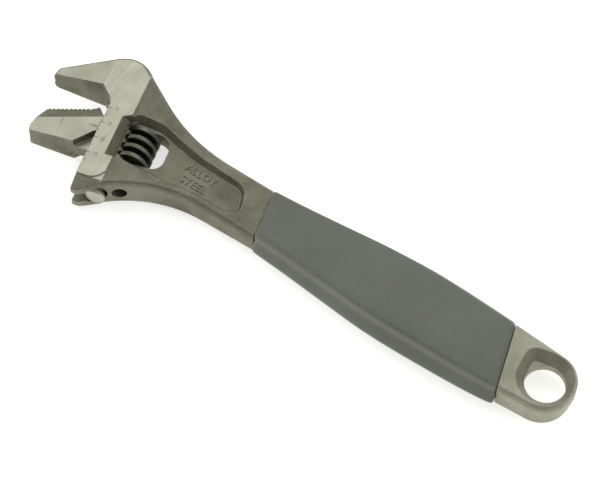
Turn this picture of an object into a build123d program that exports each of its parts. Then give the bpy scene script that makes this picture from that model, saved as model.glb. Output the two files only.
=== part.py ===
"""Adjustable wrench, 257 mm long, with a reversible jaw: one face plain for nuts, one serrated for pipes.

Main frame, in millimetres: the origin is the centre of the hanging hole on the wrench's mid-plane,
+X runs along the handle to the head, +Y is the way the loose jaw opens and +Z is out of the front face.
Head frame: the origin is the corner where the fixed jaw's face meets the slide face, x points out of
the mouth, y is the way the loose jaw opens, and z is +Z. It is turned by the head angle.
"""

from build123d import *

import math
import os

# Head frame
HEAD_ANGLE = 15.0
THROAT_X = 218.0
THROAT_Y = -15.0

# Half thicknesses of the forging, measured from the mid-plane
PAD_Z = 8.0
FORGED_Z = 7.3
SHANK_Z = 5.8
PANEL_Z = 3.5
PANEL_DRAFT = 36.0
TANG_Z = 4.0
EYE_Z = 6.1
EDGE_LOW = 1.3
EDGE_HIGH = 0.7
PAD_REAR_X = -11.0
SHANK_SLOPE = 1.7
JAW_TAPER = 8.6

# Fixed jaw and head outline, in the head frame
TAPER_START = 6.0
CROWN_ROUND = 11.5
NOSE_ROUND = 4.0
NOSE_CORNER_Y = 54.3
PAD_END_Y = 45.3
NOSE_STEP = 0.6

# Millimetre scale on the slide face, in the head frame
TICK_COUNT = 8
FIRST_TICK_Y = 10.4
TICK_STEP = 4.0
TICK_DEPTH = 0.15

# Shank and handle, in the main frame
SHANK_HALF = 12.2
NORTH_BEND = 80.0
SOUTH_BEND = 56.0
FRONT_SEAM_X = 133.4
FRONT_SEAM_TILT = 15.0
REAR_SEAM_X = 17.9
REAR_SEAM_TILT = 17.0
TANG_HALF = 9.4
EYE_HALF = 14.2
EYE_BASE_HALF = 15.6
EYE_END_X = -11.9
EYE_CORNER = 12.0
EYE_EDGES = ((1.4, 14), (1.1, 34), (0.6, 60))
HANG_HOLE_R = 8.3
DISH_Z = 1.7
DISH_SPREAD = 3.7
DISH_RUN_OUT = (7.6, -5.4)

# Slide, in the head frame
SLIDE_X = -9.0
BORE_R = 4.55
ROD_R = 4.47
BORE_END_Y = -4.0
SLOT_HALF = 2.9
WEB_HALF = 2.75
SLOT_END_Y = 2.0
ROD_TOP_Y = 4.0
ROD_END_Y = 49.6

# Knurl, its window and its pin, in the head frame
KNURL_X = -18.0
KNURL_R = 6.9
KNURL_ROOT_R = 4.25
KNURL_TOP_Y = 14.0
KNURL_END_Y = 30.4
PITCH = 4.5
CREST = 1.75
FLANK = 17.0
WINDOW_TOP_Y = 13.4
WINDOW_END_Y = 30.8
WINDOW_FRONT_X = -10.5
WINDOW_REAR_X = -30.4
BEVEL_TOP_Y = 12.8
BEVEL_END_Y = 33.0
PIN_R = 2.15
PIN_HOLE_R = 2.2
PIN_HEAD_R = 2.95
PIN_HEAD_HOLE_R = 3.1
PIN_TOP_Y = 8.5
PIN_HEAD_Y = 34.0
PIN_END_Y = 37.2
SPRING_BORE_R = 3.35
SPRING_BORE_DEPTH = 3.4
SPRING_R = 2.76
WIRE_R = 0.24

# Rack on the slide
RACK_DEPTH_X = -10.85
RACK_GAP_SIDE = 0.28

# Loose jaw, in the head frame
JAW_ROOT_X = 0.35
SMOOTH_Y = 30.4
SERRATION_PITCH = 1.8
SERRATION_DEPTH = 0.85
SERRATION_COUNT = 11
TOOTH_ROOT = (5.6, 11.2)
TOOTH_TIP = (24.7, 16.5)
JAW_SIDE_Z = 7.05
JAW_SIDE_DRAFT = 1 / 12

# Grip: x, half width on the -Y side, half width on the +Y side, half height
GRIP_SIDE_Z = 2.2
GRIP_FLAT = 0.8
GRIP_STATIONS = (
    (6, 16.0, 15.9, 6.3),
    (25, 17.6, 18.6, 6.9),
    (55, 18.9, 19.6, 8.0),
    (78, 18.0, 19.3, 8.1),
    (100, 15.8, 17.2, 8.0),
    (120, 14.1, 15.2, 7.6),
    (146, 12.8, 13.0, 6.9),
)
TANG_GAP = 0.02

head = Plane(
    origin=(THROAT_X, THROAT_Y, 0),
    x_dir=Vector(1, 0, 0).rotate(Axis.Z, HEAD_ANGLE),
    z_dir=(0, 0, 1),
)
head_side = Plane(origin=head.origin, x_dir=head.x_dir, z_dir=-head.y_dir)


def at_head(x, y, z=0.0):
    """A point given in the head frame, as a point of the main frame."""
    return head.from_local_coords(Vector(x, y, z))


def slide_plane(x, y):
    """A plane across the slide direction at a point of the mid-plane; its normal is the head's y."""
    return Plane(origin=at_head(x, y), x_dir=head.x_dir, z_dir=head.y_dir)


def tilted_cut(x, tilt):
    """The plane across the handle at x, turned by tilt, whose normal points to the head."""
    return Plane(origin=(x, 0, 0), z_dir=Vector(1, 0, 0).rotate(Axis.Z, tilt))


def in_head(x, y):
    """A point of the main frame, as a point of the head frame."""
    local = head.to_local_coords(Vector(x, y, 0))
    return (local.X, local.Y)


def top_plane(x, z, slope):
    """A plane that passes over the head frame's point x at height z and falls off toward the mouth."""
    x_dir = head.x_dir.rotate(Axis((0, 0, 0), head.y_dir), slope)
    z_dir = Vector(0, 0, 1).rotate(Axis((0, 0, 0), head.y_dir), slope)
    return Plane(origin=at_head(x, 0, z) - x_dir * x, x_dir=x_dir, z_dir=z_dir)


def forged_half(plane):
    """The front half of the head and shank, rounded over under the given top plane."""
    with BuildPart() as half:
        with BuildSketch(plane.offset(-EDGE_LOW - EDGE_HIGH)):
            with BuildLine():
                FilletPolyline(
                    in_head(110, -SHANK_HALF),
                    in_head(178.6, -SHANK_HALF),
                    (-3.2, -19.5),
                    (28.8, -4.3),
                    (31.4, 8.0),
                    (4.0, 8.0),
                    (2.0, NOSE_CORNER_Y + 1.2),
                    in_head(180.3, SHANK_HALF),
                    in_head(110, SHANK_HALF),
                    close=True,
                    radius=[3.0, NORTH_BEND, CROWN_ROUND, 3.5, 3.0, 2.0, NOSE_ROUND, SOUTH_BEND, 3.0],
                )
            make_face()
        extrude(amount=-12)
        upper = half.faces().sort_by(Axis(plane.origin, plane.z_dir))[-1]
        extrude(upper, amount=EDGE_LOW, taper=25)
        upper = half.faces().sort_by(Axis(plane.origin, plane.z_dir))[-1]
        extrude(upper, amount=EDGE_HIGH, taper=58)
    return half.part


across_pad_rear = Plane(origin=at_head(PAD_REAR_X, 0), z_dir=head.x_dir)
across_taper = Plane(origin=at_head(TAPER_START, 0), z_dir=head.x_dir)

# ---------------------------------------------------------------- shank and rear of the head
with BuildPart() as shank_half:
    add(forged_half(top_plane(PAD_REAR_X, FORGED_Z, -SHANK_SLOPE)))
    split(bisect_by=across_pad_rear, keep=Keep.BOTTOM)

# ---------------------------------------------------------------- ground part of the head
with BuildPart() as pad_half:
    add(forged_half(top_plane(0, PAD_Z, 0)))
    split(bisect_by=across_pad_rear, keep=Keep.TOP)
    split(bisect_by=across_taper, keep=Keep.BOTTOM)

# ---------------------------------------------------------------- fixed jaw
with BuildPart() as jaw_half:
    add(forged_half(top_plane(TAPER_START, PAD_Z, JAW_TAPER)))
    split(bisect_by=across_taper, keep=Keep.TOP)

# ---------------------------------------------------------------- hanging eye
with BuildPart() as eye_half:
    with BuildSketch(Plane.XY):
        with BuildLine():
            FilletPolyline(
                (34, EYE_BASE_HALF + 0.6),
                (EYE_END_X, EYE_HALF),
                (EYE_END_X, -EYE_HALF + 1.6),
                (34, -EYE_BASE_HALF - 0.6),
                close=True,
                radius=[3.0, EYE_CORNER, EYE_CORNER, 3.0],
            )
        make_face()
    extrude(amount=EYE_Z - sum(height for height, taper in EYE_EDGES))
    for height, taper in EYE_EDGES:
        extrude(eye_half.faces().sort_by(Axis.Z)[-1], amount=height, taper=taper)
    split(bisect_by=tilted_cut(REAR_SEAM_X, REAR_SEAM_TILT), keep=Keep.BOTTOM)
    # dish round the hole, run out toward the grip
    for dish_z, grow in ((DISH_Z, 0.0), (EYE_Z + 0.1, DISH_SPREAD)):
        with BuildSketch(Plane.XY.offset(dish_z)):
            with BuildLine():
                CenterArc((0, 0), HANG_HOLE_R + 0.1 + grow, 0, 360)
                CenterArc(DISH_RUN_OUT, 1.4 + grow, 0, 360)
            make_hull()
    loft(mode=Mode.SUBTRACT)
    with BuildSketch(Plane.XY):
        Circle(HANG_HOLE_R)
    extrude(amount=8, mode=Mode.SUBTRACT)

# ---------------------------------------------------------------- wrench body: one forging
with BuildPart() as wrench_body:
    add(shank_half.part)
    add(pad_half.part)
    add(jaw_half.part)
    # recessed panel between the shank's ribs
    with BuildSketch(Plane.XY.offset(PANEL_Z)):
        with BuildLine():
            FilletPolyline(
                (202.0, -7.6),
                (191, -9.3),
                (181, -7.2),
                (170, -5.4),
                (147.2, -4.9),
                (142.0, 6.9),
                (162, 7.0),
                (176, 9.0),
                (195.5, 10.2),
                close=True,
                radius=[1.5, 12, 40, 40, 6, 3, 25, 25, 1.5],
            )
        make_face()
    extrude(amount=4.5, taper=-PANEL_DRAFT, mode=Mode.SUBTRACT)
    # the slide face ends in a curved step above the nose
    with BuildSketch(Plane(origin=at_head(0, 0, PAD_Z - NOSE_STEP), x_dir=head.x_dir)):
        with BuildLine():
            Polyline((-3, PAD_END_Y), (4, PAD_END_Y), (4, 60), (-16, 60), (-16, 41.3), (-10.6, 41.3))
            ThreePointArc((-10.6, 41.3), (-8.2, 44.2), (-3, PAD_END_Y))
        make_face()
    extrude(amount=2, mode=Mode.SUBTRACT)
    # the nose slopes away
    with BuildSketch(Plane(origin=at_head(-14, 0), x_dir=head.y_dir, z_dir=head.x_dir)):
        with BuildLine():
            Polyline((46.4, 7.6), (50.5, 6.4), (58, 3.4), (58, 9.5), (46.4, 9.5), close=True)
        make_face()
    extrude(amount=20, mode=Mode.SUBTRACT)
    # bevel from the slide face down to the window
    with BuildSketch(slide_plane(0, BEVEL_TOP_Y), mode=Mode.PRIVATE) as bevel_section:
        with BuildLine():
            Polyline((-7.3, -8), (-7.3, -9), (-12, -9), (-12, -3.6), close=True)
        make_face()
    extrude(bevel_section.sketch, amount=BEVEL_END_Y - BEVEL_TOP_Y, mode=Mode.SUBTRACT)
    bevel_out = Vector(0, 0, 4.7) - head.x_dir * 4.4
    run_out = bevel_out.normalized() - head.y_dir * 0.8
    extrude(bevel_section.sketch, amount=6, dir=run_out.normalized(), mode=Mode.SUBTRACT)
    split(bisect_by=tilted_cut(FRONT_SEAM_X, FRONT_SEAM_TILT), keep=Keep.TOP)
    add(eye_half.part)
    split(bisect_by=Plane.XY, keep=Keep.TOP)
    mirror(about=Plane.XY)
    # the tang inside the grip
    with Locations((76, 0, 0)):
        Box(124, 2 * TANG_HALF, 2 * TANG_Z)
    # the mouth, with the chamfer in its throat
    with BuildSketch(head):
        with BuildLine():
            Polyline((6.3, 0), (50, 0), (50, 80), (0, 80), (0, 9.0), (0.2, 7.8), (1.5, 4.9), close=True)
        make_face()
    extrude(amount=12, both=True, mode=Mode.SUBTRACT)
    # the knurl's window, right through
    with BuildSketch(head):
        with BuildLine():
            FilletPolyline(
                (WINDOW_FRONT_X, WINDOW_TOP_Y),
                (WINDOW_FRONT_X, WINDOW_END_Y),
                (WINDOW_REAR_X, WINDOW_END_Y),
                (WINDOW_REAR_X, WINDOW_TOP_Y),
                close=True,
                radius=[0.4, 0.4, 5.0, 6.5],
            )
        make_face()
    extrude(amount=12, both=True, mode=Mode.SUBTRACT)
    # round bore and slot for the slide
    with BuildSketch(slide_plane(SLIDE_X, BORE_END_Y)):
        Circle(BORE_R)
    extrude(amount=80, mode=Mode.SUBTRACT)
    with BuildSketch(slide_plane(SLIDE_X, SLOT_END_Y)):
        Rectangle(40, 2 * SLOT_HALF, align=(Align.MIN, Align.CENTER))
    extrude(amount=80, mode=Mode.SUBTRACT)
    # seats and head hole for the knurl's pin
    with BuildSketch(slide_plane(KNURL_X, PIN_TOP_Y - 0.1)):
        Circle(PIN_HOLE_R)
    extrude(amount=40, mode=Mode.SUBTRACT)
    with BuildSketch(slide_plane(KNURL_X, PIN_HEAD_Y - 0.05)):
        Circle(PIN_HEAD_HOLE_R)
    extrude(amount=25, mode=Mode.SUBTRACT)
    # millimetre scale along the slide face's front edge
    for tick in range(TICK_COUNT):
        tick_y = FIRST_TICK_Y + TICK_STEP * tick
        with BuildSketch(Plane(origin=at_head(0, tick_y, PAD_Z - TICK_DEPTH), x_dir=head.x_dir)):
            Rectangle(3.6 - 1.4 * (tick % 2), 0.28)
        extrude(amount=1, mode=Mode.SUBTRACT)

# ---------------------------------------------------------------- the worm's thread line
thread_path = Helix(
    PITCH,
    KNURL_END_Y - KNURL_TOP_Y + 2 * PITCH,
    KNURL_ROOT_R,
    center=at_head(KNURL_X, KNURL_TOP_Y - PITCH),
    direction=head.y_dir,
    lefthand=True,
)
thread_start = thread_path @ 0
thread_outward = (thread_start - at_head(KNURL_X, KNURL_TOP_Y - PITCH)).normalized()
start_turn = math.degrees(math.atan2(thread_outward.dot(head.x_dir), thread_outward.Z))
ridge_front_y = KNURL_TOP_Y - PITCH + PITCH * ((start_turn - 90) % 360) / 360
tan_flank = math.tan(math.radians(FLANK))
ridge_root = CREST + 2 * (KNURL_R - KNURL_ROOT_R) * tan_flank

# ---------------------------------------------------------------- loose jaw with its slide and rack
with BuildPart() as movable_jaw:
    with BuildSketch(head):
        with BuildLine():
            FilletPolyline(
                (JAW_ROOT_X, 14.6),
                (4.2, 9.7),
                TOOTH_ROOT,
                TOOTH_TIP,
                (27.0, 23.2),
                (28.1, 27.6),
                (27.6, SMOOTH_Y),
                (JAW_ROOT_X, SMOOTH_Y),
                close=True,
                radius=[0.1, 0.4, 0.4, 0.3, 3.0, 0.8, 0.5, 0.1],
            )
        make_face()
    extrude(amount=9, both=True)
    with BuildSketch(head_side):
        with BuildLine():
            jaw_tip_z = JAW_SIDE_Z - 30 * JAW_SIDE_DRAFT
            Polyline((0, -JAW_SIDE_Z), (30, -jaw_tip_z), (30, jaw_tip_z), (0, JAW_SIDE_Z), close=True)
        make_face()
    extrude(amount=90, both=True, mode=Mode.INTERSECT)
    # bevels beside the tooth strip
    for side in (1, -1):
        bevel_start = at_head(26.6, 23.2, side * 4.8)
        bevel_root = at_head(2.5, 16.0, side * 6.9)
        bevel_strip = at_head(25, 17, side * 3.2)
        across = bevel_strip - bevel_start
        along = bevel_root - bevel_start
        bevel_plane = Plane(origin=bevel_start, x_dir=along, z_dir=along.cross(across) * side)
        split(bisect_by=bevel_plane, keep=Keep.BOTTOM)
    # serrations
    tooth_line = (Vector(TOOTH_TIP) - Vector(TOOTH_ROOT)).normalized()
    for tooth in range(SERRATION_COUNT):
        notch = Vector(TOOTH_ROOT) + tooth_line * (0.9 + SERRATION_PITCH * (tooth + 0.5))
        notch_x_dir = tooth_line.rotate(Axis.Z, HEAD_ANGLE)
        with BuildSketch(Plane(origin=at_head(notch.X, notch.Y), x_dir=notch_x_dir, z_dir=(0, 0, 1))):
            with BuildLine():
                Polyline((-0.9, -0.1), (0.9, -0.1), (0.35, SERRATION_DEPTH), close=True)
            make_face()
        extrude(amount=9, both=True, mode=Mode.SUBTRACT)
    # two short index lines on the front face
    for mark_x, mark_y, mark_length, mark_width in ((16.1, 22.4, 0.6, 3.8), (2.7, 20.6, 3.6, 0.6)):
        mark_z = JAW_SIDE_Z - JAW_SIDE_DRAFT * mark_x - 0.25
        with BuildSketch(Plane(origin=at_head(mark_x, mark_y, mark_z), x_dir=head.x_dir)):
            Rectangle(mark_length, mark_width)
        extrude(amount=2, mode=Mode.SUBTRACT)
    # cheeks cut back beside the web on the smooth side
    for side in (1, -1):
        with BuildSketch(Plane(origin=at_head(0, 0, side * WEB_HALF), x_dir=head.x_dir)):
            with BuildLine():
                Polyline(
                    (8.2, SMOOTH_Y + 1),
                    (7.8, SMOOTH_Y - 0.2),
                    (1.6, 23.2),
                    (-2, 21.4),
                    (-2, SMOOTH_Y + 1),
                    close=True,
                )
            make_face()
        extrude(amount=side * 8, mode=Mode.SUBTRACT)
    # web through the slot, and the round slide
    with BuildSketch(slide_plane(SLIDE_X, 13.2)):
        Rectangle(JAW_ROOT_X + 0.6 - SLIDE_X, 2 * WEB_HALF, align=(Align.MIN, Align.CENTER))
    extrude(amount=SMOOTH_Y - 13.2)
    with BuildSketch(slide_plane(SLIDE_X, ROD_TOP_Y)):
        Circle(ROD_R)
    extrude(amount=ROD_END_Y - ROD_TOP_Y)
    rod_ends = movable_jaw.part.faces().filter_by(Axis(at_head(0, 0), head.y_dir))
    end_edges = rod_ends.sort_by(Axis(at_head(0, 0), head.y_dir))[-1].edges()
    chamfer(end_edges, 0.9)
    top_edges = rod_ends.sort_by(Axis(at_head(0, 0), head.y_dir))[0].edges()
    chamfer(top_edges, 0.6)
    # rack: straight teeth cut at the thread's lead angle
    lead_angle = math.degrees(math.atan(PITCH / (2 * math.pi * 5.7)))
    half_bottom = CREST / 2 + RACK_GAP_SIDE
    for gap in range(-4, 9):
        gap_y = ridge_front_y + PITCH * gap
        if ROD_TOP_Y + 0.4 < gap_y < ROD_END_Y - 2:
            groove_plane = Plane(
                origin=at_head(RACK_DEPTH_X, gap_y),
                x_dir=head.x_dir,
                z_dir=Vector(0, 0, 1).rotate(Axis((0, 0, 0), head.x_dir), -lead_angle),
            )
            with BuildSketch(groove_plane):
                with BuildLine():
                    Polyline(
                        (0, -half_bottom),
                        (0, half_bottom),
                        (-4, half_bottom + 4 * tan_flank),
                        (-4, -half_bottom - 4 * tan_flank),
                        close=True,
                    )
                make_face()
            extrude(amount=8, both=True, mode=Mode.SUBTRACT)

# ---------------------------------------------------------------- knurl: a worm with a knurled crest
with BuildPart() as knurl:
    with BuildSketch(Plane(origin=thread_start, x_dir=thread_outward, z_dir=thread_path % 0)):
        with BuildLine():
            Polyline(
                (-0.65, -ridge_root / 2 - 0.2),
                (KNURL_R - KNURL_ROOT_R, -CREST / 2),
                (KNURL_R - KNURL_ROOT_R, CREST / 2),
                (-0.65, ridge_root / 2 + 0.2),
                close=True,
            )
        make_face()
    sweep(path=thread_path, is_frenet=True)
    with BuildSketch(slide_plane(KNURL_X, KNURL_TOP_Y - PITCH - 4)):
        Circle(KNURL_ROOT_R)
    extrude(amount=KNURL_END_Y - KNURL_TOP_Y + 2 * PITCH + 8)
    with BuildSketch(slide_plane(KNURL_X, KNURL_TOP_Y)):
        Circle(KNURL_R + 1)
    extrude(amount=KNURL_END_Y - KNURL_TOP_Y, mode=Mode.INTERSECT)
    with BuildSketch(slide_plane(KNURL_X, KNURL_TOP_Y - 1)):
        Circle(PIN_HOLE_R)
    extrude(amount=20, mode=Mode.SUBTRACT)
    with BuildSketch(slide_plane(KNURL_X, KNURL_TOP_Y - 1)):
        Circle(SPRING_BORE_R)
    extrude(amount=SPRING_BORE_DEPTH + 1, mode=Mode.SUBTRACT)

# ---------------------------------------------------------------- pin the knurl turns on
with BuildPart() as knurl_pin:
    with BuildSketch(slide_plane(KNURL_X, PIN_TOP_Y)):
        Circle(PIN_R)
    extrude(amount=PIN_HEAD_Y - PIN_TOP_Y)
    with BuildSketch(slide_plane(KNURL_X, PIN_HEAD_Y)):
        Circle(PIN_HEAD_R)
    extrude(amount=PIN_END_Y - PIN_HEAD_Y)
    with BuildSketch(slide_plane(KNURL_X, PIN_END_Y - 1.1)):
        Rectangle(8, 0.8, rotation=35)
    extrude(amount=2, mode=Mode.SUBTRACT)

# ---------------------------------------------------------------- spring that takes up the knurl's play
with BuildPart() as knurl_spring:
    spring_height = KNURL_TOP_Y + SPRING_BORE_DEPTH - WINDOW_TOP_Y - 2 * WIRE_R - 0.1
    with BuildLine():
        coil = Helix(
            spring_height / 3.5,
            spring_height,
            SPRING_R,
            center=at_head(KNURL_X, WINDOW_TOP_Y + WIRE_R + 0.05),
            direction=head.y_dir,
        )
    with BuildSketch(Plane(origin=coil @ 0, z_dir=coil % 0)):
        Circle(WIRE_R)
    sweep(path=coil, is_frenet=True)

# ---------------------------------------------------------------- grip sleeve over the tang
with BuildPart() as grip:
    for station_x, low_side, high_side, half_height in GRIP_STATIONS:
        with BuildSketch(Plane(origin=(station_x, 0, 0), x_dir=(0, 1, 0), z_dir=(1, 0, 0))):
            with BuildLine():
                Polyline(
                    (high_side, -GRIP_SIDE_Z),
                    (high_side, GRIP_SIDE_Z),
                    (GRIP_FLAT * high_side, half_height),
                    (-GRIP_FLAT * low_side, half_height),
                    (-low_side, GRIP_SIDE_Z),
                    (-low_side, -GRIP_SIDE_Z),
                    (-GRIP_FLAT * low_side, -half_height),
                    (GRIP_FLAT * high_side, -half_height),
                    close=True,
                )
            make_face()
    loft()
    split(bisect_by=tilted_cut(FRONT_SEAM_X - 0.15, FRONT_SEAM_TILT), keep=Keep.BOTTOM)
    split(bisect_by=tilted_cut(REAR_SEAM_X + 0.15, REAR_SEAM_TILT), keep=Keep.TOP)
    with Locations((76, 0, 0)):
        Box(160, 2 * TANG_HALF + 2 * TANG_GAP, 2 * TANG_Z + 2 * TANG_GAP, mode=Mode.SUBTRACT)

# ---------------------------------------------------------------- one STEP file per piece
os.makedirs("parts", exist_ok=True)

wrench_body.part.label = "wrench_body"
export_step(wrench_body.part, "parts/wrench_body.step")

movable_jaw.part.label = "movable_jaw"
export_step(movable_jaw.part, "parts/movable_jaw.step")

knurl.part.label = "knurl"
export_step(knurl.part, "parts/knurl.step")

knurl_pin.part.label = "knurl_pin"
export_step(knurl_pin.part, "parts/knurl_pin.step")

knurl_spring.part.label = "knurl_spring"
export_step(knurl_spring.part, "parts/knurl_spring.step")

grip.part.label = "grip"
export_step(grip.part, "parts/grip.step")
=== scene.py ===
"""Looks of the adjustable wrench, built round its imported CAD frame. Metres, in the CAD's own frame."""

import math

import bmesh
import bpy
from mathutils import Matrix, Vector


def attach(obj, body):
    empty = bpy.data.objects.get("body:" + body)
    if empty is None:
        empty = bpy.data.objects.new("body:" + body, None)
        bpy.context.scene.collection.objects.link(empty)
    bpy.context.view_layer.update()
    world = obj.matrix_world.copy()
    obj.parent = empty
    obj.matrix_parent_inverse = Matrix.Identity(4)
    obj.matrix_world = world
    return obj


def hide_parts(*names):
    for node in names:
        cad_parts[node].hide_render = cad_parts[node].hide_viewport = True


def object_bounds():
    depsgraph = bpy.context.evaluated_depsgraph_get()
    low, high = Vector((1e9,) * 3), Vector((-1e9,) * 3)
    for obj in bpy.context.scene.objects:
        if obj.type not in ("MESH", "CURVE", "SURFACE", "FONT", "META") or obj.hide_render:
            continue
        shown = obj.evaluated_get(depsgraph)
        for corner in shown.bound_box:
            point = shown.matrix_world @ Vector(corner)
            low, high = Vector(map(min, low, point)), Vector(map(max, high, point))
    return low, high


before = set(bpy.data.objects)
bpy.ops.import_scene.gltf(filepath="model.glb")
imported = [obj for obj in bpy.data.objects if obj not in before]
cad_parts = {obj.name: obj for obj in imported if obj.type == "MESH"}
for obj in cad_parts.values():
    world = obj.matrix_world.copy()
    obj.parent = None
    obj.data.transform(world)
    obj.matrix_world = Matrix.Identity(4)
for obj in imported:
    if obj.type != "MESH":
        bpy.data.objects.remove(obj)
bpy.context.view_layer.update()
MM = 0.001

# The head frame: its origin is the throat between the jaws, and it is turned from the main frame
HEAD_ANGLE = math.radians(15)
THROAT = Vector((0.218, -0.015, 0))
HEAD_X = Vector((math.cos(HEAD_ANGLE), math.sin(HEAD_ANGLE), 0))
HEAD_Y = Vector((-math.sin(HEAD_ANGLE), math.cos(HEAD_ANGLE), 0))


def at_head(x, y, z):
    """A point of the head frame, given in mm."""
    return THROAT + HEAD_X * (x * MM) + HEAD_Y * (y * MM) + Vector((0, 0, z * MM))


def new_object(name, data):
    """Adds an object to the scene."""
    added = bpy.data.objects.new(name, data)
    bpy.context.scene.collection.objects.link(added)
    return added


# Where the grinding ends: the back and the top of the body's ground faces, and the loose jaw's slide end
BODY_GROUND_BACK = at_head(-11.05, 0, 0)
BODY_GROUND_TOP = at_head(0, 45.4, 0)
SLIDE_END = at_head(0, 48.7, 0)

# The hanging eye is painted paler, a painted sheen for the light its face catches: the painted sheen starts
# at the first x and is full at the second
EYE_SHEEN_START = 40 * MM
EYE_SHEEN_FULL = 12 * MM

# The worm: its middle, outer radius, thread pitch and crest width; -1 is a left-hand thread
KNURL_CENTRE = at_head(-18, 22.2, 0)
KNURL_R = 6.9 * MM
KNURL_PITCH = 4.5 * MM
KNURL_HALF_LENGTH = 8.2 * MM
CREST_WIDTH = 1.75 * MM
THREAD_SENSE = -1

# The diamond points on its crest: how high they stand, how deep their feet are sunk, and how many there are
POINT_HEIGHT = 0.16 * MM
POINT_SINK = 0.03 * MM
POINT_ROWS = 3
POINTS_PER_TURN = 46


# ------------------------------------------------------------------ materials
def set_span(node, low, high, to_low, to_high):
    """Fills in a map-range node."""
    for key, value in zip(("From Min", "From Max", "To Min", "To Max"), (low, high, to_low, to_high)):
        node.inputs[key].default_value = value


class Nodes:
    """Short names for building one material's node tree."""

    def __init__(self, name):
        self.mat = bpy.data.materials.new(name)
        self.mat.use_nodes = True
        self.tree = self.mat.node_tree
        self.shader = self.tree.nodes["Principled BSDF"]
        self.coords = self.add("ShaderNodeTexCoord")

    def add(self, kind, **values):
        """A new node with its settings."""
        node = self.tree.nodes.new(kind)
        for key, value in values.items():
            setattr(node, key, value)
        return node

    def link(self, a, b):
        """Joins an output to an input."""
        self.tree.links.new(a, b)

    def noise(self, scale, detail=4.0, rough=0.55, stretch=(1, 1, 1), turn=0.0):
        """Noise fixed to the object, stretched along lines if asked."""
        place = self.add("ShaderNodeMapping")
        place.inputs["Scale"].default_value = stretch
        place.inputs["Rotation"].default_value = (0, 0, turn)
        self.link(self.coords.outputs["Object"], place.inputs["Vector"])
        node = self.add("ShaderNodeTexNoise")
        node.inputs["Scale"].default_value = scale
        node.inputs["Detail"].default_value = detail
        node.inputs["Roughness"].default_value = rough
        self.link(place.outputs[0], node.inputs["Vector"])
        return node.outputs[0]

    def ramp(self, source, stops):
        """Colours by value, given as (value, colour) stops."""
        node = self.add("ShaderNodeValToRGB")
        ramp = node.color_ramp
        while len(ramp.elements) < len(stops):
            ramp.elements.new(0.5)
        for element, (place, colour) in zip(ramp.elements, stops):
            element.position = place
            element.color = (*colour, 1)
        self.link(source, node.inputs[0])
        return node.outputs[0]

    def span(self, source, low, high, to_low, to_high):
        """Maps low..high to to_low..to_high, and holds the ends."""
        node = self.add("ShaderNodeMapRange")
        set_span(node, low, high, to_low, to_high)
        self.link(source, node.inputs["Value"])
        return node.outputs[0]

    def maths(self, kind, a, b=None):
        """One step of arithmetic on sockets or plain numbers."""
        node = self.add("ShaderNodeMath", operation=kind)
        for socket, value in ((node.inputs[0], a), (node.inputs[1], b)):
            if value is None:
                continue
            if isinstance(value, (int, float)):
                socket.default_value = value
            else:
                self.link(value, socket)
        return node.outputs[0]

    def mix(self, factor, a, b):
        """Mixes two colours, which are sockets 6 and 7 of a mix node."""
        node = self.add("ShaderNodeMix", data_type="RGBA")
        self.link(factor, node.inputs[0])
        self.link(a, node.inputs[6])
        self.link(b, node.inputs[7])
        return node.outputs[2]

    def mix_value(self, factor, a, b):
        """Mixes two values, which are sockets 2 and 3 of a mix node."""
        node = self.add("ShaderNodeMix", data_type="FLOAT")
        self.link(factor, node.inputs[0])
        self.link(a, node.inputs[2])
        self.link(b, node.inputs[3])
        return node.outputs[0]

    def bump(self, height, strength, distance, under=None):
        """Fine relief, laid over another normal if one is given."""
        node = self.add("ShaderNodeBump")
        node.inputs["Strength"].default_value = strength
        node.inputs["Distance"].default_value = distance
        self.link(height, node.inputs["Height"])
        if under is not None:
            self.link(under, node.inputs["Normal"])
        return node.outputs[0]

    def axis(self, direction):
        """How far a point lies along a direction, in metres."""
        node = self.add("ShaderNodeVectorMath", operation="DOT_PRODUCT")
        node.inputs[1].default_value = direction
        self.link(self.coords.outputs["Object"], node.inputs[0])
        return node.outputs["Value"]

    def facing_front(self, least=0.975):
        """1 on faces that look out of the front or back; least is the cosine of the widest lean."""
        geometry = self.add("ShaderNodeNewGeometry")
        split = self.add("ShaderNodeSeparateXYZ")
        self.link(geometry.outputs["True Normal"], split.inputs[0])
        return self.maths("GREATER_THAN", self.maths("ABSOLUTE", split.outputs[2]), least)


def forged(n):
    """Phosphated forging: its colour, roughness and height."""
    fine = n.maths("MULTIPLY", n.noise(70, 5, 0.6), 0.45)
    broad = n.maths("MULTIPLY", n.noise(26, 4, 0.65), 0.33)
    speck = n.maths("MULTIPLY", n.noise(850, 3, 0.6), 0.22)
    blotch = n.maths("ADD", n.maths("ADD", fine, broad), speck)
    grain = n.noise(1500, 4, 0.7)
    colour = n.ramp(
        blotch, [(0.36, (0.125, 0.126, 0.087)), (0.50, (0.190, 0.190, 0.136)), (0.66, (0.275, 0.268, 0.203))]
    )
    rough = n.span(blotch, 0.3, 0.7, 0.60, 0.46)
    return colour, rough, grain


def ground(n):
    """Ground face, with fine lines left by the wheel and light stains: its colour, roughness and height."""
    lines = n.noise(900, 3, 0.6, (1, 0.035, 1), HEAD_ANGLE)
    stain = n.noise(110, 5, 0.6)
    colour = n.ramp(
        stain, [(0.28, (0.365, 0.367, 0.288)), (0.5, (0.425, 0.425, 0.340)), (0.74, (0.485, 0.482, 0.394))]
    )
    rough = n.span(lines, 0.3, 0.7, 0.34, 0.52)
    return colour, rough, lines


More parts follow.
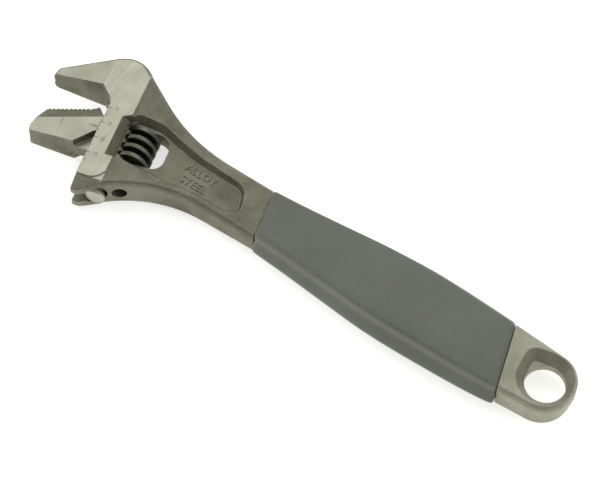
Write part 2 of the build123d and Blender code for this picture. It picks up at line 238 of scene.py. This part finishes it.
def steel(name, ground_mask):
    """Forged steel, ground bright where the mask is 1, painted pale along its edges, partly as wear and
    partly as painted highlight, and painted paler at its eye as a painted sheen.
    """
    n = Nodes(name)
    f_colour, f_rough, f_grain = forged(n)
    # painted sheen: the eye end is painted paler where its face catches the light
    painted_sheen_colour = n.ramp(n.noise(90, 4), [(0.3, (0.30, 0.30, 0.225)), (0.7, (0.44, 0.435, 0.34))])
    eye_sheen = n.span(n.axis((1, 0, 0)), EYE_SHEEN_START, EYE_SHEEN_FULL, 0, 0.85)
    f_colour = n.mix(eye_sheen, f_colour, painted_sheen_colour)
    g_colour, g_rough, g_lines = ground(n)
    mask = ground_mask(n)
    # the edges are where a softened normal differs from the true one
    soft = n.add("ShaderNodeBevel", samples=8)
    soft.inputs["Radius"].default_value = 0.6 * MM
    geometry = n.add("ShaderNodeNewGeometry")
    alike = n.add("ShaderNodeVectorMath", operation="DOT_PRODUCT")
    n.link(soft.outputs[0], alike.inputs[0])
    n.link(geometry.outputs["Normal"], alike.inputs[1])
    rounded = n.span(alike.outputs["Value"], 0.995, 0.93, 0, 1)
    edge = n.maths("MULTIPLY", rounded, n.span(n.noise(420, 4), 0.38, 0.60, 0.25, 0.9))
    # painted edge highlight: the edges are painted pale, partly as wear and partly as a painted highlight
    # along them
    wear_and_highlight = n.ramp(n.noise(300, 3), [(0.3, (0.40, 0.40, 0.33)), (0.7, (0.56, 0.555, 0.47))])
    n.link(n.mix(edge, n.mix(mask, f_colour, g_colour), wear_and_highlight), n.shader.inputs["Base Color"])
    n.link(n.mix_value(mask, f_rough, g_rough), n.shader.inputs["Roughness"])
    n.shader.inputs["Metallic"].default_value = 0.82
    height = n.mix_value(mask, n.span(f_grain, 0.3, 0.7, 0, 1), n.span(g_lines, 0.3, 0.7, 0, 0.35))
    n.link(n.bump(height, 0.7, 0.00010, soft.outputs[0]), n.shader.inputs["Normal"])
    return n.mat


def body_ground(n):
    """The body is ground on the head's faces only, in front of the shank."""
    past_shank = n.maths("GREATER_THAN", n.axis(HEAD_X), BODY_GROUND_BACK.dot(HEAD_X))
    below_nose = n.maths("LESS_THAN", n.axis(HEAD_Y), BODY_GROUND_TOP.dot(HEAD_Y))
    return n.maths("MULTIPLY", n.facing_front(), n.maths("MULTIPLY", past_shank, below_nose))


def jaw_ground(n):
    """The loose jaw is ground on its two faces and on the turned end of its slide."""
    slide_end = n.maths("GREATER_THAN", n.axis(HEAD_Y), SLIDE_END.dot(HEAD_Y))
    return n.maths("MAXIMUM", n.facing_front(0.97), slide_end)


def plain_metal(name, colour, rough, scale):
    """A small bare metal part with slight stains."""
    n = Nodes(name)
    blotch = n.noise(scale, 4, 0.6)
    low = tuple(c * 0.8 for c in colour)
    high = tuple(c * 1.2 for c in colour)
    n.link(n.ramp(blotch, [(0.3, low), (0.7, high)]), n.shader.inputs["Base Color"])
    n.link(n.span(blotch, 0.3, 0.7, rough - 0.07, rough + 0.07), n.shader.inputs["Roughness"])
    n.shader.inputs["Metallic"].default_value = 0.85
    n.link(n.bump(n.noise(1800, 3), 0.4, 0.00004), n.shader.inputs["Normal"])
    return n.mat


def knurl_material():
    """Dark worm, painted darker in its groove as painted shade, whose knurled points are painted brighter,
    partly as wear and partly as painted highlight.
    """
    n = Nodes("knurl_phosphate")
    across = n.maths("SUBTRACT", n.axis(HEAD_X), KNURL_CENTRE.dot(HEAD_X))
    up = n.axis((0, 0, 1))
    squares = n.maths("ADD", n.maths("MULTIPLY", across, across), n.maths("MULTIPLY", up, up))
    radius = n.maths("SQRT", squares)
    # painted highlight: the knurled points are painted brighter, partly as wear on their tips and partly as a
    # painted highlight
    points = n.span(radius, KNURL_R + 0.1 * POINT_HEIGHT, KNURL_R + 0.5 * POINT_HEIGHT, 0, 1)
    # painted shade: the worm's colour is darkened toward the bottom of its thread's groove
    painted_groove_shade = n.span(radius, KNURL_R - 0.9 * MM, KNURL_R - 0.2 * MM, 0.45, 1)
    blotch = n.noise(160, 5, 0.6)
    base = n.ramp(blotch, [(0.3, (0.042, 0.050, 0.034)), (0.7, (0.088, 0.098, 0.070))])
    wear_and_highlight = n.ramp(blotch, [(0.3, (0.34, 0.355, 0.285)), (0.7, (0.66, 0.665, 0.56))])
    colour = n.mix(points, base, wear_and_highlight)
    shaded = n.add("ShaderNodeVectorMath", operation="SCALE")
    n.link(colour, shaded.inputs[0])
    n.link(painted_groove_shade, shaded.inputs["Scale"])
    n.link(shaded.outputs[0], n.shader.inputs["Base Color"])
    n.link(n.span(blotch, 0.3, 0.7, 0.50, 0.36), n.shader.inputs["Roughness"])
    n.shader.inputs["Metallic"].default_value = 0.8
    n.link(n.bump(n.noise(1500, 3), 0.4, 0.00004), n.shader.inputs["Normal"])
    return n.mat


def grip_material():
    """Soft dark sleeve with a fine moulded grain, scuffs, and sides painted paler as a painted sheen where
    the light from below falls on them.
    """
    n = Nodes("grip_soft")
    blotch = n.noise(38, 5, 0.62)
    scuff = n.noise(300, 4, 0.6, (0.15, 1, 1))
    grain = n.noise(5200, 2, 0.6)
    colour = n.ramp(
        blotch, [(0.28, (0.120, 0.129, 0.102)), (0.5, (0.141, 0.151, 0.122)), (0.74, (0.163, 0.174, 0.141))]
    )
    pale = n.ramp(scuff, [(0.0, (0.13, 0.139, 0.115)), (1.0, (0.21, 0.219, 0.188))])
    marks = n.span(scuff, 0.60, 0.78, 0, 0.55)
    # painted sheen: the sides, away from the top and bottom faces, are painted paler
    side = n.maths("MULTIPLY", n.maths("SUBTRACT", 1, n.facing_front(0.85)), 0.6)
    side_sheen_colour = n.ramp(blotch, [(0.28, (0.180, 0.190, 0.160)), (0.74, (0.240, 0.251, 0.214))])
    painted_sheen_colour = n.mix(side, colour, side_sheen_colour)
    n.link(n.mix(marks, painted_sheen_colour, pale), n.shader.inputs["Base Color"])
    n.link(n.span(blotch, 0.3, 0.7, 0.50, 0.64), n.shader.inputs["Roughness"])
    coarse = n.bump(blotch, 0.25, 0.0004)
    n.link(n.bump(grain, 0.35, 0.00005, coarse), n.shader.inputs["Normal"])
    return n.mat


def paint(name, colour, rough):
    """A flat filling for stamped characters, a little uneven."""
    n = Nodes(name)
    blotch = n.noise(400, 3)
    low = tuple(c * 0.85 for c in colour)
    high = tuple(c * 1.15 for c in colour)
    n.link(n.ramp(blotch, [(0.3, low), (0.7, high)]), n.shader.inputs["Base Color"])
    n.shader.inputs["Roughness"].default_value = rough
    return n.mat


def dress(node, material):
    """Puts a material in every slot of a CAD node."""
    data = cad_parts[node].data
    if not data.materials:
        data.materials.append(material)
    for index in range(len(data.materials)):
        data.materials[index] = material


body_steel = steel("body_steel", body_ground)
worm_steel = knurl_material()
dress("wrench_body", body_steel)
dress("movable_jaw", steel("jaw_steel", jaw_ground))
dress("knurl", worm_steel)
dress("knurl_pin", plain_metal("pin_dark", (0.10, 0.10, 0.085), 0.5, 220))
dress("knurl_spring", plain_metal("spring_wire", (0.30, 0.30, 0.28), 0.35, 220))


# ------------------------------------------------------------------ grip
# x, half width on the -Y side, half width on the +Y side, half height, in mm
STATIONS = (
    (6, 16.0, 15.9, 6.3),
    (25, 17.6, 18.6, 6.9),
    (55, 18.9, 19.6, 8.0),
    (78, 18.0, 19.3, 8.1),
    (100, 15.8, 17.2, 8.0),
    (120, 14.1, 15.2, 7.6),
    (146, 12.8, 13.0, 6.9),
)

# Where the grip's slanted ends cross its middle line, their slants, and the gap left at each end, in mm
GRIP_BACK_X = 17.9
GRIP_FRONT_X = 133.4
GRIP_BACK_SLANT = math.radians(17)
GRIP_FRONT_SLANT = HEAD_ANGLE
GRIP_END_GAP = 0.25

# The rounding of the grip's ends: shares of its length from the end, and how far in the outline is drawn, in
# mm. END_LENGTH is the share that it takes up, and GRIP_STEPS the number of rings between the two ends.
END_ROUND = ((0.0, 1.25), (0.0018, 0.75), (0.005, 0.35), (0.010, 0.10))
END_LENGTH = 0.014
GRIP_STEPS = 110


def station(x, column):
    """The grip's half width or half height at x, on a smooth curve through the stations."""
    last = len(STATIONS) - 2
    i = next(i for i in range(last + 1) if x <= STATIONS[i + 1][0] or i == last)
    before, start, end, after = (STATIONS[min(max(k, 0), last + 1)] for k in range(i - 1, i + 3))
    length = end[0] - start[0]
    t = (x - start[0]) / length
    start_slope = (end[column] - before[column]) / (end[0] - before[0]) * length
    end_slope = (after[column] - start[column]) / (after[0] - start[0]) * length
    from_start = 2 * t**3 - 3 * t**2 + 1
    bend_start = t**3 - 2 * t**2 + t
    bend_end = t**3 - t**2
    straight = from_start * start[column] + (1 - from_start) * end[column]
    return straight + bend_start * start_slope + bend_end * end_slope


# A quarter of the grip's outline as shares of its half width and half height, side to top: the side
# slopes out like a flange, a steep shoulder rises from it, and the top is nearly flat.
QUARTER = (
    (1.035, 0.0),
    (1.033, 0.04),
    (1.022, 0.09),
    (0.997, 0.16),
    (0.965, 0.24),
    (0.932, 0.32),
    (0.903, 0.39),
    (0.880, 0.45),
    (0.863, 0.51),
    (0.853, 0.58),
    (0.847, 0.67),
    (0.841, 0.77),
    (0.828, 0.86),
    (0.805, 0.93),
    (0.772, 0.972),
    (0.720, 0.992),
    (0.600, 1.0),
    (0.450, 1.004),
    (0.300, 1.007),
    (0.150, 1.009),
)


def section(low_side, high_side, half_height):
    """The grip's whole outline, all the way round."""
    high = [(y * high_side, z * half_height) for y, z in QUARTER]
    low = [(-y * low_side, z * half_height) for y, z in reversed(QUARTER)]
    top = high + [(0.0, half_height * 1.01)] + low
    bottom = [(y, -z) for y, z in reversed(top[1:-1])]
    return top + bottom


def make_grip():
    """The sleeve, lofted from its back end by the eye to its front end by the head."""
    rings_at = list(END_ROUND)
    for i in range(GRIP_STEPS + 1):
        rings_at.append((END_LENGTH + (1 - 2 * END_LENGTH) * i / GRIP_STEPS, 0.0))
    rings_at += [(1 - share, drawn_in) for share, drawn_in in reversed(END_ROUND)]
    mesh = bpy.data.meshes.new("soft_grip")
    bm = bmesh.new()
    rings = []
    for share, drawn_in in rings_at:
        x_mid = GRIP_BACK_X + (GRIP_FRONT_X - GRIP_BACK_X) * share
        ring = []
        for y, z in section(*(station(x_mid, column) - drawn_in for column in (1, 2, 3))):
            back = GRIP_BACK_X - y * math.tan(GRIP_BACK_SLANT) + GRIP_END_GAP
            front = GRIP_FRONT_X - y * math.tan(GRIP_FRONT_SLANT) - GRIP_END_GAP
            ring.append(bm.verts.new(((back + (front - back) * share) * MM, y * MM, z * MM)))
        rings.append(ring)
    count = len(rings[0])
    for a, b in zip(rings, rings[1:]):
        for i in range(count):
            bm.faces.new((a[i], a[(i + 1) % count], b[(i + 1) % count], b[i]))
    bm.faces.new(list(reversed(rings[0])))
    bm.faces.new(rings[-1])
    bmesh.ops.recalc_face_normals(bm, faces=bm.faces)
    for face in bm.faces:
        face.smooth = len(face.verts) == 4
    bm.to_mesh(mesh)
    bm.free()
    mesh.materials.append(grip_material())
    grip = new_object("soft_grip", mesh)
    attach(grip, "body")
    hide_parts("grip")


make_grip()


# ------------------------------------------------------------------ knurling on the worm's crest
# The CAD worm's points this near its outer radius are on the crest
CREST_TOLERANCE = 0.02 * MM


def on_worm(turn, along, radius):
    """A point round the worm's axis; turn is measured from +Z toward the head's x."""
    outward = HEAD_X * math.sin(turn) + Vector((0, 0, math.cos(turn)))
    return KNURL_CENTRE + HEAD_Y * along + outward * radius


def crest_phase():
    """The turn where the thread's crest passes the worm's middle, read from the CAD worm's outer points."""
    total = Vector((0, 0))
    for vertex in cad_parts["knurl"].data.vertices:
        place = vertex.co - KNURL_CENTRE
        across = place.dot(HEAD_X)
        if math.hypot(across, place.z) > KNURL_R - CREST_TOLERANCE:
            phase = math.atan2(across, place.z) - THREAD_SENSE * math.tau * place.dot(HEAD_Y) / KNURL_PITCH
            total += Vector((math.cos(phase), math.sin(phase)))
    return math.atan2(total.y, total.x)


def knurled_crest():
    """Staggered rows of small diamond points that follow the crest."""
    phase = crest_phase()
    row_step = CREST_WIDTH / POINT_ROWS
    turn_step = math.tau / POINTS_PER_TURN
    farthest = KNURL_HALF_LENGTH - CREST_WIDTH / 2
    reach = math.ceil(POINTS_PER_TURN * (farthest / KNURL_PITCH + 1))
    mesh = bpy.data.meshes.new("knurled_crest")
    bm = bmesh.new()
    for index in range(-reach, reach + 1):
        for row in range(POINT_ROWS):
            turn = (index + 0.5 * (row % 2)) * turn_step
            along = THREAD_SENSE * (turn - phase) * KNURL_PITCH / math.tau
            if abs(along) > farthest:
                continue
            along += (row - (POINT_ROWS - 1) / 2) * row_step
            tip = bm.verts.new(on_worm(turn, along, KNURL_R + POINT_HEIGHT))
            corners = []
            for d_turn, d_along in ((-0.5, 0), (0, -0.7), (0.5, 0), (0, 0.7)):
                place = on_worm(turn + d_turn * turn_step, along + d_along * row_step, KNURL_R - POINT_SINK)
                corners.append(bm.verts.new(place))
            for a, b in zip(corners, corners[1:] + corners[:1]):
                bm.faces.new((tip, a, b))
            bm.faces.new(list(reversed(corners)))
    bmesh.ops.recalc_face_normals(bm, faces=bm.faces)
    bm.to_mesh(mesh)
    bm.free()
    mesh.materials.append(worm_steel)
    piece = new_object("knurled_crest", mesh)
    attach(piece, "worm")


knurled_crest()


# ------------------------------------------------------------------ lettering and numerals
def placed(origin, right, up):
    """The matrix that stands a thing at origin, with its x to the right and its y up."""
    turn = Matrix((right, up, right.cross(up))).transposed().to_4x4()
    return Matrix.Translation(origin) @ turn


def lettering(name, lines, thickness, material):
    """Raised or inlaid characters in one piece. Each line is (text, size in mm, origin, right, up)."""
    joined = bmesh.new()
    for text, size, origin, right, up in lines:
        curve = bpy.data.curves.new(name + "_curve", "FONT")
        curve.body = text
        curve.size = size * MM
        curve.extrude = thickness / 2 * MM
        curve.align_x = "CENTER"
        curve.align_y = "CENTER"
        curve.resolution_u = 3
        holder = new_object(name + "_curve", curve)
        bpy.context.view_layer.update()
        flat = bpy.data.meshes.new_from_object(holder.evaluated_get(bpy.context.evaluated_depsgraph_get()))
        flat.transform(placed(origin, right, up))
        joined.from_mesh(flat)
        bpy.data.objects.remove(holder)
        bpy.data.meshes.remove(flat)
    mesh = bpy.data.meshes.new(name)
    joined.to_mesh(mesh)
    joined.free()
    mesh.materials.append(material)
    piece = new_object(name, mesh)
    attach(piece, "body")


# The two words in the panel, read with the head to the left
WORD_SIZE = 4.9
WORD_X = 165.5 * MM
PANEL_Z = 3.5 * MM
words = []
for word, y in (("ALLOY", -1.5), ("STEEL", 4.2)):
    words.append((word, WORD_SIZE, Vector((WORD_X, y * MM, PANEL_Z)), Vector((-1, 0, 0)), Vector((0, -1, 0))))
lettering("panel_lettering", words, 0.7, body_steel)

# The scale on the head's face: 10, 15, 20 and 25, a fixed step apart along the head's y, in mm
SCALE_X = -4.0
SCALE_FIRST_Y = 10.4
SCALE_STEP = 8
FACE_Z = 8.0
numerals = []
for step in range(4):
    origin = at_head(SCALE_X, SCALE_FIRST_Y + SCALE_STEP * step, FACE_Z)
    numerals.append((str(5 * step + 10), 2.3, origin, -HEAD_Y, HEAD_X))
lettering("scale_numerals", numerals, 0.03, paint("numeral_dark", (0.16, 0.16, 0.125), 0.6))


# ------------------------------------------------------------------ floor, light and camera
# Half the floor's width, its gap under the wrench, its own light, and the side where the sky is darker
FLOOR_HALF = 3.0
FLOOR_GAP = 0.1 * MM
FLOOR_GLOW = 0.62
SKY_DARK_SIDE = (-0.10, 0.93, 0.35)


def make_floor():
    """White ground just under the wrench, faintly lit so that it stays white."""
    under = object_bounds()[0][2] - FLOOR_GAP
    corners = [(-FLOOR_HALF, -FLOOR_HALF, 0), (FLOOR_HALF, -FLOOR_HALF, 0)]
    corners += [(FLOOR_HALF, FLOOR_HALF, 0), (-FLOOR_HALF, FLOOR_HALF, 0)]
    mesh = bpy.data.meshes.new("floor")
    mesh.from_pydata(corners, [], [(0, 1, 2, 3)])
    white = Nodes("floor_white")
    white.shader.inputs["Base Color"].default_value = (0.96, 0.96, 0.96, 1)
    white.shader.inputs["Roughness"].default_value = 0.9
    white.shader.inputs["Emission Color"].default_value = (1, 1, 1, 1)
    white.shader.inputs["Emission Strength"].default_value = FLOOR_GLOW
    mesh.materials.append(white.mat)
    floor = new_object("floor", mesh)
    floor.location = (0, 0, under)


def make_sky():
    """A studio sky that is darker on one side."""
    world = bpy.data.worlds.new("studio")
    bpy.context.scene.world = world
    world.use_nodes = True
    sky = world.node_tree
    direction = sky.nodes.new("ShaderNodeTexCoord")
    toward = sky.nodes.new("ShaderNodeVectorMath")
    toward.operation = "DOT_PRODUCT"
    toward.inputs[1].default_value = SKY_DARK_SIDE
    shade = sky.nodes.new("ShaderNodeMapRange")
    set_span(shade, 0.05, 0.80, 0.74, 0.30)
    background = sky.nodes["Background"]
    background.inputs["Color"].default_value = (1.0, 1.0, 0.99, 1)
    sky.links.new(direction.outputs["Generated"], toward.inputs[0])
    sky.links.new(toward.outputs["Value"], shade.inputs["Value"])
    sky.links.new(shade.outputs[0], background.inputs["Strength"])


def softbox(name, place, target, size, power):
    """A rectangular lamp aimed at a point of the wrench."""
    light = bpy.data.lights.new(name, "AREA")
    light.shape = "RECTANGLE"
    light.size, light.size_y = size
    light.energy = power
    lamp = new_object(name, light)
    lamp.location = place
    lamp.rotation_euler = (Vector(target) - Vector(place)).to_track_quat("-Z", "Y").to_euler()


def make_camera(place, target, roll, lens):
    """The camera at a place, aimed at a target and rolled about its line of sight."""
    data = bpy.data.cameras.new("camera")
    data.lens = lens
    data.sensor_width = 36
    data.clip_start = 0.01
    forward = (target - place).normalized()
    level_right = forward.cross(Vector((0, 0, 1))).normalized()
    level_up = level_right.cross(forward)
    right = level_right * math.cos(roll) + level_up * math.sin(roll)
    camera = new_object("camera", data)
    camera.matrix_world = placed(place, right, right.cross(forward))
    bpy.context.scene.camera = camera


make_floor()
make_sky()
softbox("softbox_back", (0.35, -0.75, 0.9), (0.12, 0, 0), (1.2, 1.0), 3.0)
softbox("softbox_side", (0.9, 0.2, 0.7), (0.15, 0, 0), (0.6, 0.6), 2.0)
make_camera(Vector((-0.13953, 0.40729, 0.74837)), Vector((0.11325, 0.00306, 0)), math.radians(2.7), 132)
bpy.context.scene.view_settings.view_transform = "Standard"
